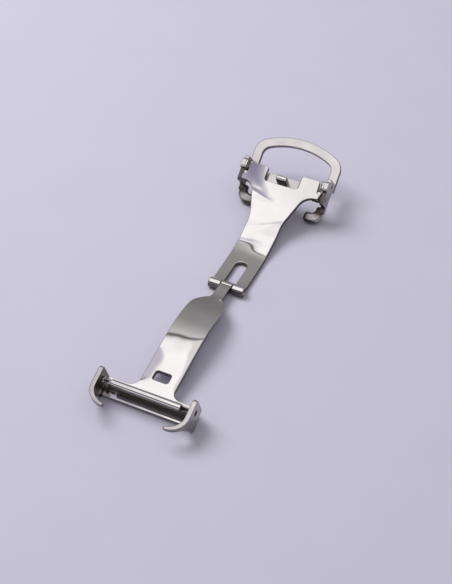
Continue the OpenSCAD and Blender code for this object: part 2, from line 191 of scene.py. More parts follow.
# %% [markdown]
# ## Filling a flat face
# A face with a slot can't be one square grid, and a boolean leaves long thin faces that bend
# badly. So Blender's Delaunay triangulation fills it, over the outline's points and a grid of
# points inside, and keeps the outlines as edges.


# %% Filled faces
def inside(q, rings):
    """Whether each point is inside the rings: a line from it to the right crosses them an odd
    number of times."""
    hits = np.zeros(len(q), int)
    for ring in rings:
        a, b = ring, np.roll(ring, -1, 0)
        y, y0, y1 = q[:, 1, None], a[None, :, 1], b[None, :, 1]
        spans = (y0 > y) != (y1 > y)
        x = a[None, :, 0] + (y - y0) * (b - a)[None, :, 0] / np.where(y1 == y0, 1, y1 - y0)
        hits += (spans & (q[:, 0, None] < x)).sum(1)
    return hits % 2 == 1


def grid_points(loops, grid):
    """Points of a square grid that are inside the loops and 0.4 of a step away from them."""
    rim = np.concatenate(loops)
    low, high = rim.min(0), rim.max(0)
    x, y = np.meshgrid(np.arange(low[0] + grid / 2, high[0], grid),
                       np.arange(low[1] + grid / 2, high[1], grid))
    q = np.stack([x.ravel(), y.ravel()], 1)
    q = q[inside(q, loops)]
    near = np.sqrt(((q[:, None] - rim[None]) ** 2).sum(-1)).min(1)
    return q[near > 0.4 * grid]


def filled(loops, extra):
    """Triangles over the loops' points and the extra points, numbered in that order, all
    counter-clockwise: one whose doubled area is negative is turned round."""
    both = np.concatenate([*loops, extra])
    edges, start = [], 0
    for q in loops:
        i = np.arange(len(q))
        edges.append(start + np.stack([i, (i + 1) % len(q)], 1))
        start += len(q)
    found = delaunay_2d_cdt(both.tolist(), np.concatenate(edges).tolist(), [], 0, 1e-7)
    back = np.array([o[0] for o in found[3]])
    tris = back[np.array(found[2])]
    tris = tris[inside(both[tris].mean(1), loops)]
    ab, ac = both[tris[:, 1]] - both[tris[:, 0]], both[tris[:, 2]] - both[tris[:, 0]]
    flip = ab[:, 0] * ac[:, 1] - ab[:, 1] * ac[:, 0] < 0
    tris[flip] = tris[flip][:, ::-1]
    return tris


print("the square:", len(filled([square[0]], np.zeros((0, 2)))), "triangles")

# %% [markdown]
# ## Pressed plates
# Nearly every piece is a plate with rounded edges. Solidify and Bevel would do for a flat one,
# but not for a bend that has to reflect cleanly. Here a quarter circle, a straight wall and
# another quarter circle are carried along the outline, and a place function bends the plate
# in space. The shading directions come from the shape, so a mirror finish shows no facets.


# %% Plates
def frame_at(place, u, v, d):
    """The three directions of a placed plate, across, along and out of its face, from small
    steps in u, v and depth."""
    e, p = 1e-4, place(u, v, d)
    eu, ev = place(u + e, v, d) - p, place(u, v + e, d) - p
    en = np.cross(eu, ev)
    out = p - place(u, v, d + e)
    eu, ev, en = (w / np.linalg.norm(w, axis=-1, keepdims=True) for w in (eu, ev, en))
    sign = np.sign((en * out).sum(-1)).mean()
    return p, eu, ev, en * np.sign(sign), sign > 0


def thickness(thick, q):
    """The plate's thickness at each point, from a function or from one number."""
    return thick(q[:, 0], q[:, 1]) if callable(thick) else np.full(len(q), float(thick))


def plate(ring, place, thick, edge, holes=(), grid=None, steps=4):
    """A plate with rolled edges. The wall is a grid: its column follows the ring, its row the
    edge profile, inset edge (1 - cos a) and depth edge (1 - sin a). The faces are filled from
    the innermost rows. place(u, v, depth) carries all points into space."""
    a = np.linspace(np.pi / 2, 0, steps + 1)
    inset, sink = edge * (1 - np.cos(a)), edge * (1 - np.sin(a))
    inset = np.concatenate([inset, inset[::-1]])[:, None, None]
    lean = np.concatenate([a, -a[::-1]])[:, None, None]
    rows, count = 2 * len(a), 0
    verts, norms, quads, loops, top, low = [], [], [], [], [], []
    for p, n in [ring, *holes]:
        w = len(p)
        q = p[None] - inset * n[None]
        depth = np.concatenate([np.repeat(sink[:, None], w, 1),
                                thickness(thick, p)[None] - sink[::-1, None]])
        pos, eu, ev, en, right_handed = frame_at(place, q[..., 0], q[..., 1], depth)
        side = n[None, :, :1] * eu + n[None, :, 1:] * ev
        verts.append(pos.reshape(-1, 3))
        norms.append((np.cos(lean) * side + np.sin(lean) * en).reshape(-1, 3))
        quads.append(count + wrapped(rows, w))
        loops.append(q[0])
        top.append(count + np.arange(w))
        low.append(top[-1] + (rows - 1) * w)
        count += rows * w
    extra = grid_points(loops, grid) if grid else np.zeros((0, 2))
    m = len(extra)
    if m:
        for depth, sign in ((np.zeros(m), 1), (thickness(thick, extra), -1)):
            pos, _, _, en, _ = frame_at(place, extra[:, 0], extra[:, 1], depth)
            verts.append(pos)
            norms.append(sign * en)
    tris = filled(loops, extra)
    top = np.concatenate([*top, count + np.arange(m)])
    low = np.concatenate([*low, count + m + np.arange(m)])
    quads, caps = np.concatenate(quads), np.concatenate([top[tris], low[tris][:, ::-1]])
    if not right_handed:
        quads, caps = quads[:, ::-1], caps[:, ::-1]
    return np.concatenate(verts), np.concatenate(norms), quads, caps


# %% [markdown]
# ## Turned pieces and a coil
# Pins, knuckles, the tube and the peg come off a lathe, and the bar's spring is wound. A
# bevelled cylinder would be close, but collars and bores need a real outline: distance along
# the axis against radius, carried round the axis. The coil is a ring carried along a helix.


# %% Turned pieces
def turned(corners, radii, place, count=40):
    """Outline points (h, r) carried round: place(h, r cos a, r sin a). Corners run from the far
    end to the near end on the outside. Where the outline starts and ends on the axis, it is
    closed there with one point and a fan of triangles."""
    solid = corners[0][1] == 0
    p, n = outline(corners, radii, pitch=3.0)
    if solid:
        # the ring closes along the axis: keep the open path from pole to pole
        p, n = p[p[:, 1] > 1e-6], n[p[:, 1] > 1e-6]
        first = int(np.argmax(p[:, 0] * 1e3 - p[:, 1]))
        p, n = np.roll(p, -first, 0), np.roll(n, -first, 0)
    a = np.linspace(0, 2 * np.pi, count, endpoint=False)
    h, r = p[:, :1] + 0 * a, p[:, 1:] + 0 * a
    h_out, r_out = h + n[:, :1], r + n[:, 1:]
    pos = place(h, r * np.cos(a), r * np.sin(a))
    norms = place(h_out, r_out * np.cos(a), r_out * np.sin(a)) - pos
    norms = norms / np.linalg.norm(norms, axis=-1, keepdims=True)
    verts, norms, tris = pos.reshape(-1, 3), norms.reshape(-1, 3), np.zeros((0, 3), int)
    if solid:
        ends = np.array([corners[0][0], corners[-1][0]], float)
        poles = place(ends, 0 * ends, 0 * ends)
        out = place(ends + np.array([1.0, -1.0]), 0 * ends, 0 * ends) - poles
        verts, norms = np.concatenate([verts, poles]), np.concatenate([norms, out])
        tris = fans(len(p), count)
    return facing_out(verts, norms, wrapped(len(p), count, closed=not solid), tris)


def rod(r, x0, x1, place, edge=0.08, bore=None):
    """A pin from x0 to x1 with rounded ends, or a bush where it has a bore."""
    if bore is None:
        return turned([(x1, 0), (x1, r), (x0, r), (x0, 0)], [0, edge, edge, 0], place)
    return turned([(x1, bore), (x1, r), (x0, r), (x0, bore)], edge, place)


def coil(wire, mean, x0, x1, turns, place):
    """A helix: the wire's middle is (h, mean cos a, mean sin a) with h growing evenly with a;
    the wire's ring lies across its direction of travel."""
    around, per_turn = 8, 20
    n = int(turns * per_turn) + 1
    t = np.linspace(0, 1, n)
    a = t * turns * 2 * np.pi
    mid = np.stack([x0 + (x1 - x0) * t, mean * np.cos(a), mean * np.sin(a)], 1)
    go = np.gradient(mid, axis=0)
    go /= np.linalg.norm(go, axis=1)[:, None]
    out = np.stack([0 * a, np.cos(a), np.sin(a)], 1)
    side = np.cross(go, out)
    b = np.linspace(0, 2 * np.pi, around, endpoint=False)
    ring = out[:, None] * np.cos(b)[None, :, None] + side[:, None] * np.sin(b)[None, :, None]
    p = np.concatenate([(mid[:, None] + wire * ring).reshape(-1, 3), mid[[0, -1]]])
    q = p + np.concatenate([ring.reshape(-1, 3), [-go[0], go[-1]]])
    pos, tip = place(*p.T), place(*q.T)
    return facing_out(pos, tip - pos, wrapped(n, around), fans(n, around))


# %% [markdown]
# ## Places
# Each part of the clasp has its own slope. A turned object would do, but a finished piece
# keeps its object unturned at the origin. So these functions turn and shift the points.


# %% Places
def tilt(origin, slope, y, z):
    """Turns (y, z) by slope and shifts it to origin."""
    c, s = np.cos(slope), np.sin(slope)
    return origin[0] + y * c - z * s, origin[1] + y * s + z * c


def lie(origin, slope, top):
    """A plate that lies on a slope: u across, v up the slope, its face at height top."""
    def place(u, v, d):
        y, z = tilt(origin, slope, v, top - d)
        return np.stack([u + 0 * y, y, z], -1)
    return place


def stand(origin, slope, x):
    """A plate that stands on edge: u up the slope, v square to it, its face outwards at x."""
    def place(u, v, d):
        y, z = tilt(origin, slope, u, v)
        return np.stack([x - np.sign(x) * d + 0 * y, y, z], -1)
    return place


def along_x(origin):
    """A lathe axis across the strap."""
    def place(h, a, b):
        return np.stack([h, origin[0] + a, origin[1] + b], -1)
    return place


def square_to(origin, slope, y0, z0):
    """A lathe axis that points down out of a sloping plate."""
    def place(h, a, b):
        y, z = tilt(origin, slope, y0 + b, z0 - h)
        return np.stack([a + 0 * y, y, z], -1)
    return place


# %% [markdown]
# ## The blades' side line
# Both blades are bent over a former, so their side line turns gently. Arcs and straight lines
# meet with a jump in curvature, which a mirror finish shows as a hard line. So the line is
# given by its direction at a few distances. The direction is smoothed with a bell-shaped
# window, and its cosine and sine are summed up. The straight runs end up where the solids
# have them.


# %% Side lines
def side_line(stations, rise=0.0):
    """Distance, direction, y and z along a blade. y and z are the running sums of the cosine
    and the sine of the smoothed direction. A station is (distance, direction in degrees)."""
    step, window = 0.02, 1.2
    s = np.arange(0, 42, step)
    k = np.array(stations, float)
    weights = np.hanning(2 * int(window / step) + 1)
    a = np.interp(s, k[:, 0], np.radians(k[:, 1]))
    a = np.pad(a, len(weights) // 2, mode="edge")
    a = np.convolve(a, weights / weights.sum(), "valid")
    half = (a[1:] + a[:-1]) / 2
    y = np.concatenate([[0], np.cumsum(np.cos(half) * step)])
    z = np.concatenate([[rise], rise + np.cumsum(np.sin(half) * step)])
    return s, a, y, z


def on_line(line, s, off):
    """The point off the side line by off, and beyond its start straight on."""
    dist, a, y, z = line
    t = np.clip(s, 0, dist[-1])
    th, yy, zz = np.interp(t, dist, a), np.interp(t, dist, y), np.interp(t, dist, z)
    yy, zz = yy + (s - t) * np.cos(th), zz + (s - t) * np.sin(th)
    return yy - off * np.sin(th), zz + off * np.cos(th)


upper_line = side_line([(0, -3.5), (1.8, -3.5), (5, -0.6), (8, 0.2), (10.2, 2.6), (12.0, 10),
                        (14.2, 13.5), (16.2, 20), (18, 26), (19.6, 28), (45, 28)], rise=0.14)
lower_line = side_line([(0, 0), (8.72, 0), (10.72, 3), (16.72, 22.8), (19.2, 26), (22, 27.9),
                        (26, 29.2), (30, 28.18), (32.4, 28.78), (34.2, 38.5), (45, 38.5)])
print("upper blade ends %.2f mm up" % (np.interp(31.7, upper_line[0], upper_line[3]) + HINGE[1]))

# %% [markdown]
# ## The blades' bends
# Hand polishing leaves a sheet a little untrue, and a mirror finish shows it as curved lines.
# Noise could displace it, but the lines have to lie where the photograph has them. So each
# untrue place is one smooth term, at most a quarter of a millimetre, in the distance from the
# side line.


# %% Bent blades
def bell(s, middle, long):
    """1 at the middle, falling off as a bell both ways."""
    return np.exp(-((s - middle) / long) ** 2)


def ease(t):
    """0 below 0, 1 above 1, and a smooth step between."""
    t = np.clip(t, 0, 1)
    return t * t * (3 - 2 * t)


TWIST, TWIST_AT = 0.04, 14.0
WAIST_STEP, HOLLOW = 0.045, 0.12
FOLD_ROOM, TWIST_ROOM = 0.12, 0.10
NECK_CLIMB = 0.98


def upper_place(x, s, d):
    """The upper blade lies below its side line. Its bend is twisted, by an angle that is a bell
    along s. A slanting step, as a tanh, crosses its waist. Its left wing has a shallow hollow,
    as a tanh of the distance to a brink that curves away as an exponential."""
    lift = TWIST * x * bell(s, TWIST_AT, 2.0)
    lift = lift - WAIST_STEP * np.tanh((s - 18.3 - 0.55 * x) / 0.6) * bell(s, 19, 3.5)
    brink = 6.5 * np.exp(np.clip((24.6 - s) / 2.2, -9, 1)) - 7.6
    lift = lift - HOLLOW * (1 - np.tanh((x - brink) / 1.9)) * ease((s - 23.6) / 2.8)
    y, z = on_line(upper_line, s, lift - d)
    return np.stack([x + 0 * y, HINGE[0] + y, HINGE[1] + z], -1)


def lower_place(x, s, d):
    """The lower blade, bent in the folded state and then swung open about the hinge. Folded, it
    clears the upper blade by room, which is more where that one is twisted. Its long edges are
    rubbed lower than its middle, as a power of x, and its neck climbs to the hinge barrel."""
    wide = np.clip(np.abs(x) / LOWER_HALF, 0, 1.1)
    right_edge = 0.030 * wide ** 5 * (x > 0) * ease((s - 17) / 4)
    left_edge = 0.075 * wide ** 3 * (x < 0) * ease((s - 22.5) / 4)
    climb = NECK_CLIMB * ease((5.6 - s) / 5.2)
    room = FOLD_ROOM + TWIST_ROOM * bell(s, TWIST_AT, 2.5)
    rubbed = (right_edge + left_edge) * ease((32.5 - s) / 2.5)
    y, z = on_line(lower_line, s, room + rubbed - climb + d)
    y, z = tilt(HINGE, FOLD, y, z)
    return np.stack([x + 0 * y, y, z], -1)


wing_tip = upper_place(-7.0, 27.0, 0.0)[2] - upper_place(7.0, 27.0, 0.0)[2]
print("the left wing lies %.2f mm lower than the right one" % -wing_tip)

# %% [markdown]
# ## From arrays to Blender
# bmesh builds face by face; whole arrays are quicker and keep the order of the points. One
# helper joins the skins of a piece, makes the mesh and hands it its shading directions. The
# piece then rides on its body and stands for its solid.


# %% Making a piece
def mirrored(skin):
    """The same skin on the strap's other side."""
    v, n, q, t = skin
    flip = np.array([-1.0, 1.0, 1.0])
    return v * flip, n * flip, q[:, ::-1], t[:, ::-1]


def piece(name, body, node, material, *skins, painted_shade=None):
    """Mesh object from skins of (points, directions, quads, triangles), in metres. The keyword
    gives each point's share of painted shade, from its place and direction."""
    verts = np.concatenate([s[0] for s in skins])
    norms = np.concatenate([s[1] for s in skins])
    norms /= np.linalg.norm(norms, axis=1)[:, None]
    weight = painted_shade(verts, norms) if painted_shade else np.zeros(len(verts))
    verts = verts * MM
    starts = np.concatenate([[0], np.cumsum([len(s[0]) for s in skins])[:-1]])
    quads = np.concatenate([s[2] + k for s, k in zip(skins, starts)])
    tris = np.concatenate([s[3] + k for s, k in zip(skins, starts)])
    corners = np.concatenate([quads.ravel(), tris.ravel()]).astype(np.int32)
    first = np.concatenate([np.arange(len(quads)) * 4, quads.size + np.arange(len(tris)) * 3])
    mesh = bpy.data.meshes.new(name)
    mesh.vertices.add(len(verts))
    mesh.vertices.foreach_set("co", verts.ravel())
    mesh.loops.add(len(corners))
    mesh.loops.foreach_set("vertex_index", corners)
    mesh.polygons.add(len(first))
    mesh.polygons.foreach_set("loop_start", first.astype(np.int32))
    mesh.update(calc_edges=True)
    mesh.validate()
    mesh.shade_smooth()
    mesh.normals_split_custom_set_from_vertices(norms.tolist())
    share = mesh.attributes.new("painted_shade", "FLOAT", "POINT")
    share.data.foreach_set("value", weight.astype(np.float32))
    mesh.materials.append(material)
    obj = bpy.data.objects.new(name, mesh)
    bpy.context.scene.collection.objects.link(obj)
    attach(obj, body)
    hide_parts(node)
    print("%-18s %6d faces" % (name, len(mesh.polygons)))


# %% [markdown]
# ## Painted shade
# Sheared edges, narrow insides, hollows and undersides are painted with shade: a share of
# brown-grey, rough metal. Weights could be painted by hand; here they come from each
# point's place and direction, so they follow the shape when it changes.


# %% Shares of painted shade
def sheared_edge_shade(slope, share=1.0):
    """Painted shade on a sheet's sheared edge: full where the direction is far from the
    sheet's own, which leans back by slope."""
    face = np.array([0.0, -np.sin(slope), np.cos(slope)])

    def weight(p, n):
        return share * np.clip((0.8 - np.abs(n @ face)) / 0.4, 0, 1)
    return weight


def outwards(p, n):
    """1 where a surface faces away from the strap's middle, 0 where it doesn't."""
    return np.clip(n[:, 0] * np.sign(p[:, 0]) * 2 - 0.8, 0, 1)


def cheeked(slope, outside):
    """Painted shade on a piece that stands on edge: none on its top, most on its insides and
    ends, and its outsides in between."""
    face, left = np.array([0.0, -np.sin(slope), np.cos(slope)]), 0.9

    def weight(p, n):
        side = np.clip((0.75 - np.abs(n @ face)) / 0.35, 0, 1)
        return side * (left + (outside - left) * outwards(p, n))
    return weight


# %% [markdown]
# ## Steel
# The real pieces are stainless steel, whose looks come from its tone, its roughness and fine
# relief. Scanned pictures could give them. Here one function makes them from noise on the
# object's own coordinates, with every scale in millimetres, and mixes in painted shade, a
# brown-grey and rough metal, where the mesh asks for it.


# %% Material helpers
# painted shade: the dark and light brown-grey, and the roughness, that a point's share of shade
# mixes in
SHADE_DARK, SHADE_LIGHT, SHADE_ROUGH = "#3c3633", "#5f5854", 0.32


def linear(code):
    """sRGB hex to linear red, green, blue and full alpha."""
    c = np.array([int(code[i:i + 2], 16) for i in (1, 3, 5)]) / 255
    c = np.where(c <= 0.04045, c / 12.92, ((c + 0.055) / 1.055) ** 2.4)
    return (*c.tolist(), 1.0)


def add(tree, kind, inputs=None, **settings):
    """One node with its settings; an input is a value, or a socket to link from."""
    node = tree.nodes.new(kind)
    for key, value in settings.items():
        setattr(node, key, value)
    for key, value in (inputs or {}).items():
        if isinstance(value, bpy.types.NodeSocket):
            tree.links.new(value, node.inputs[key])
        else:
            node.inputs[key].default_value = value
    return node


def steel(name, slot, dark, light, rough, swing, wave_mm, wave_depth_mm, grain_mm, grain_depth_mm):
    """Bare steel. Slow noise of wave_mm gives the unevenness of hand work, in shape and in
    tone; fast noise of grain_mm, drawn out along one direction, gives the lines of the grit or
    the lathe, in shape and in a roughness that swings about its middle. Where the mesh's
    attribute gives a share of painted shade, the metal is painted a darker brown-grey and is
    rough."""
    m = bpy.data.materials.new(name)
    m.use_nodes = True
    m["slot"] = slot
    t = m.node_tree
    t.nodes.clear()
    place = add(t, "ShaderNodeTexCoord").outputs["Object"]
    slow = add(t, "ShaderNodeTexNoise", {
        "Vector": place, "Scale": 1 / (wave_mm * MM), "Detail": 1.0, "Roughness": 0.4})
    drawn = add(t, "ShaderNodeMapping", {
        "Vector": place, "Scale": tuple(1 / (g * MM) for g in grain_mm)})
    fast = add(t, "ShaderNodeTexNoise", {
        "Vector": drawn.outputs["Vector"], "Scale": 1.0, "Detail": 3.0, "Roughness": 0.6})
    # painted shade: the mesh's share of it, and the brown-grey that it mixes in
    shaded = add(t, "ShaderNodeAttribute", attribute_name="painted_shade").outputs["Fac"]
    tone = add(t, "ShaderNodeMix", {
        0: slow.outputs["Fac"], 6: linear(dark), 7: linear(light)}, data_type="RGBA")
    shade_tone = add(t, "ShaderNodeMix", {
        0: fast.outputs["Fac"], 6: linear(SHADE_DARK), 7: linear(SHADE_LIGHT)}, data_type="RGBA")
    colour = add(t, "ShaderNodeMix", {
        0: shaded, 6: tone.outputs[2], 7: shade_tone.outputs[2]}, data_type="RGBA")
    gloss = add(t, "ShaderNodeMapRange", {
        "Value": fast.outputs["Fac"], "From Min": 0.3, "From Max": 0.7,
        "To Min": rough - swing, "To Max": rough + swing})
    matt = add(t, "ShaderNodeMapRange", {
        "Value": shaded, "To Min": gloss.outputs["Result"], "To Max": SHADE_ROUGH})
    waves = add(t, "ShaderNodeBump", {
        "Height": slow.outputs["Fac"], "Distance": wave_depth_mm * MM, "Strength": 1.0})
    lines = add(t, "ShaderNodeBump", {
        "Height": fast.outputs["Fac"], "Distance": grain_depth_mm * MM, "Strength": 1.0,
        "Normal": waves.outputs["Normal"]})
    shader = add(t, "ShaderNodeBsdfPrincipled", {
        "Base Color": colour.outputs[2], "Metallic": 1.0, "Roughness": matt.outputs["Result"],
        "Normal": lines.outputs["Normal"]})
    add(t, "ShaderNodeOutputMaterial", {"Surface": shader.outputs["BSDF"]})
    return m


# %% [markdown]
# ## The three finishes
# The blades, the stud, the peg and the tube are wheel polished: clear, but never quite flat,
# with faint hairlines. The ears, the side plates and the loop are satin, rubbed with fine grit,
# so that the highlight spreads. Pins and tips are left as turned. One material could serve
# for all, but their grain, tone and gloss differ, so there are three.

# %% Three finishes
# 316 steel, wheel polished: near-mirror, pale and a touch warm, with waves 5 mm long; real
# hairlines are 0.01 mm wide, drawn 0.22 mm wide and 1.6 mm long to show
polished_316 = steel("stainless_316_wheel_polished", "polished_steel", "#e2dedc", "#f0eeee",
                     rough=0.045, swing=0.012, wave_mm=5.0, wave_depth_mm=0.030,
                     grain_mm=(1.6, 0.22, 0.22), grain_depth_mm=0.0004)
# 316 steel, rubbed with 400 grit: soft wide highlight; real lines 0.03 mm, drawn 0.16 mm to show
satin_316 = steel("stainless_316_satin_rubbed", "satin_steel", "#cbc6c6", "#f0ecea",
                  rough=0.24, swing=0.04, wave_mm=4.0, wave_depth_mm=0.015,
                  grain_mm=(2.2, 0.16, 0.16), grain_depth_mm=0.0015)
# 303 steel, as turned: bright with fine rings across the axis; real pitch 0.03 mm, drawn 0.12 mm
turned_303 = steel("stainless_303_as_turned", "turned_steel", "#b9b6b6", "#d0cdce",
                   rough=0.24, swing=0.05, wave_mm=2.0, wave_depth_mm=0.004,
                   grain_mm=(0.12, 1.6, 1.6), grain_depth_mm=0.0012)
print("finishes:", polished_316.name, satin_316.name, turned_303.name)

# %% [markdown]
# ## The upper blade
# One stamped and bent plate from the hinge to the wings, with a slot for the other blade's
# neck, a cut-out for the catch and a lobe on each wing. Its knuckles are rolled at the hinge
# end, and two lugs hang under the wings for the pivot pins. One skin could hold all; separate
# skins that sink into each other are simpler and look the same.

# %% Upper blade
SLOT_HALF = 1.3
foot, run = BEND_END + 9.8, BEND_END + 14.0
corners, radii = mirrored_corners(
    [(SLOT_HALF, 0.0), (UPPER_HALF, 0.0), (UPPER_HALF, BEND_END + 2.3), (6.117, foot),
     (8.85, foot), (8.85, foot + 1.4), (8.1, foot + 1.4), (7.9, run), (3.85, run),
     (3.85, run - 3.3)],
    [0.05, 0.05, 7.0, 3.0, 0.5, 0.55, 0.25, 0.5, 0.5, 0.6])
corners += [(-SLOT_HALF, 8.2), (SLOT_HALF, 8.2)]
radii += [SLOT_HALF, SLOT_HALF]


def upper_thick(x, s):
    """The sheet's thickness, and 0.11 mm less where its flat run sags to the table."""
    return BLADE - 0.11 * ease(s / 3.0) * ease((13.5 - s) / 3.0) + 0 * x


def upper_painted_shade(p, n):
    """Painted shade on the sheet's sheared edges, and on the knuckles' flanks below their tops."""
    to_pin = np.hypot(p[:, 1] - HINGE[0], p[:, 2] - HINGE[1])
    knuckled = (to_pin < BARREL + 0.1) * (np.abs(p[:, 0]) > 1.25)
    flank = 0.9 * np.clip((0.66 - n[:, 2]) * 5, 0, 1)
    return np.where(knuckled, flank, sheared_edge_shade(np.radians(20), 0.95)(p, n))


upper_sheet = plate(outline(corners, radii, 0.4, BLADE_EDGE), upper_place, upper_thick,
                    BLADE_EDGE, grid=0.4)
knuckle = rod(BARREL, SLOT_HALF, 3.82, along_x(HINGE), edge=0.22, bore=0.52)
lug_side = outline([(9.84, -0.6), (9.84, -1.77), (10.34, -2.76), (11.38, -2.76), (11.88, -1.77),
                    (11.88, -0.6)], [0.05, 0.3, 0.8, 0.8, 0.3, 0.05], 0.5, 0.12)
lug = plate(lug_side, stand(HINGE + np.array([17.4421, 1.7558]), DECK_SLOPE, 8.85), 1.55, 0.12,
            holes=[hole_ring(10.86, -1.77, 0.59)])
piece("blade_upper_polished", "upper", "upper_blade", polished_316,
      upper_sheet, knuckle, mirrored(knuckle), lug, mirrored(lug), painted_shade=upper_painted_shade)

# %% [markdown]
# ## The lower blade
# A narrow neck turns in the slot. Past the shoulders the blade keeps its width up to a cross
# plate that joins the ears, and a window near its end takes the catch stud when the clasp is
# shut. The cross plate could be a plate of its own, but the real one is stamped and bent in
# one with the blade, so it is the part beyond the last bend.

# %% Lower blade
fold_at = BEND_END + 15.3
corners, radii = mirrored_corners(
    [(1.2, 0.0), (1.2, 5.509), (LOWER_HALF, 7.762), (LOWER_HALF, fold_at), (INSIDE, fold_at),
     (INSIDE, fold_at + 3.98)],
    [0.05, 1.5, 6.1, 1.8, 0.1, 0.25])
corners, radii = corners[1:-1] + [corners[-1], corners[0]], radii[1:-1] + [radii[-1], radii[0]]
near_end, far_end = BEND_END + 10.75, BEND_END + 12.85
window = outline([(1.63, near_end), (-1.63, near_end), (-1.63, far_end), (1.63, far_end)],
                 0.5, 0.4)


def lower_thick(x, s):
    """The sheet's thickness along the blade, eased down to the cross plate's 0.9 mm."""
    return BLADE - 0.2 * ease((s - fold_at + 1.0) / 2.0)


def bay_painted_shade(p, n):
    """Painted shade on the sheared edges, and on the part of the cross plate behind the bar, under
    the tube.
    """
    along, off = tilt((0, 0), -PLATE_SLOPE, p[:, 1] - BAR[0], p[:, 2] - BAR[1])
    bay = np.clip((along + 0.95) / 0.4, 0, 1) * np.clip((1.5 - along) / 0.4, 0, 1)
    bay = bay * (off > -3.3) * (off < -2.5) * np.clip((9.0 - np.abs(p[:, 0])) * 2, 0, 1)
    return np.maximum(sheared_edge_shade(np.radians(5), 0.85)(p, n), bay)


lower_sheet = plate(outline(corners, radii, 0.4, BLADE_EDGE), lower_place, lower_thick,
                    BLADE_EDGE, holes=[window], grid=0.45)
neck = rod(BARREL, -1.2, 1.2, along_x(HINGE), edge=0.18, bore=0.54)
piece("blade_lower_polished", "lower", "lower_blade", polished_316, lower_sheet, neck,
      painted_shade=bay_painted_shade)

# %% [markdown]
# ## The hinge pin and the spring bar
# A plain pin holds the blades together. The bar is a thin tube, its ends closed in, with a coil
# spring inside and a collared tip at each end. The spring could be a sleeve, since the tube
# hides it, but a real coil costs little and makes the piece whole.

# %% Hinge pin, tube, spring and tips
piece("pin_hinge", "upper", "hinge_pin", turned_303, rod(0.5, -3.67, 3.67, along_x(HINGE)))
tube = turned([(7.05, 0.44), (7.05, 0.75), (-7.05, 0.75), (-7.05, 0.44), (-6.65, 0.44),
               (-6.65, 0.5), (6.65, 0.5), (6.65, 0.44)],
              [0.05, 0.12, 0.12, 0.05, 0, 0, 0, 0], along_x(BAR), 56)
tip = turned([(9.5, 0), (9.5, 0.4), (8.9, 0.4), (8.9, 0.6), (8.55, 0.6), (8.55, 0.4), (6.65, 0.4),
              (6.65, 0.46), (5.85, 0.46), (5.85, 0)],
             [0, 0.15, 0, 0.08, 0.08, 0, 0, 0.03, 0.05, 0], along_x(BAR))


def tube_painted_shade(p, n):
    """Painted shade on the tube's underside, which faces the plate."""
    return 0.9 * np.clip((0.42 - n[:, 2]) * 5, 0, 1)


def tip_painted_shade(p, n):
    """Painted shade on the tips' ends, inside the ears' holes."""
    return (np.abs(p[:, 0]) > 9.3).astype(float)


piece("spring_bar_tube", "bar", "bar_tube", polished_316, tube, painted_shade=tube_painted_shade)
piece("spring_bar_coil", "bar", "bar_spring", turned_303,
      coil(0.09, 0.33, -5.83, 5.83, 27, along_x(BAR)))
for hand, skin in (("right", tip), ("left", mirrored(tip))):
    piece("spring_bar_tip_" + hand, "tip_" + hand, "bar_tip_" + hand, turned_303, skin,
          painted_shade=tip_painted_shade)

# %% [markdown]
# ## The ears
# Each ear is a cheek that runs past the bar and curls in to a horn that thins towards its tip.
# A Curve modifier could bend it, but loses the shading directions. So the ear is drawn as a
# flat strip, a along it and z up, and wrapped along its outer line: straight, then round a
# circle.


# %% Ears
STRAIGHT, CURL = 3.7, 3.5


def ear_place(a, z, d):
    """Wraps the strip: straight for 3.7 mm, then round a circle of 3.5 mm radius, and straight
    on beyond 1.75 radians."""
    bend = np.clip((a - STRAIGHT) / CURL, 0, 1.75)
    over = np.maximum(a - STRAIGHT - bend * CURL, 0)
    x = 6.5 + (CURL - d) * np.cos(bend) - over * np.sin(bend)
    y = np.where(a < STRAIGHT, 1.9 - a, -1.8) - (CURL - d) * np.sin(bend) - over * np.cos(bend)
    yy, zz = tilt(BAR, PLATE_SLOPE, y, z)
    return np.stack([x, yy, zz], -1)


def horn_thick(a, z):
    """The cheek's 1 mm thins round the curl to the tip."""
    return np.interp(a, [0, 2.7, 5.0, 6.5, 8.0, 9.2, 9.8],
                     [1.0, 1.0, 0.98, 0.94, 0.84, 0.66, 0.55])


def ear_painted_shade(p, n):
    """Painted shade as on a cheek, and over all of the hole for the bar."""
    far = np.hypot(p[:, 1] - BAR[0], p[:, 2] - BAR[1])
    return np.maximum(cheeked(PLATE_SLOPE, 0.5)(p, n), far < 0.6)


foot_z = -3.906
ear_ring = outline([(0, 2.05), (0, -2.65), (3.2, foot_z + 0.35), (3.8, foot_z),
                    (4.5, foot_z + 0.5), (5.36, -1.2), (6.35, 0.55), (9.75, 1.0), (9.75, 2.05)],
                   [0.7, 0.3, 0.1, 0.15, 0.2, 0.6, 1.2, 0.5, 0.5], 0.4, 0.24)
ear = plate(ear_ring, ear_place, horn_thick, 0.24, holes=[hole_ring(1.9, 0.0, 0.44, 28)], grid=0.4)
for hand, skin in (("right", ear), ("left", mirrored(ear))):
    piece("ear_%s_horned" % hand, "lower", "ear_" + hand, satin_316, skin, painted_shade=ear_painted_shade)

# %% [markdown]
# ## The side plates and claws
# A side plate stands on edge beside each wing, on the pivot pin. It ends below in a claw, bent
# inwards, and above in a nub. One bent sheet would be truer, but the bend is hidden, so claw
# and nub are plates of their own that meet it. Two small dimples show the ends of the pivot
# pin and of a rivet.


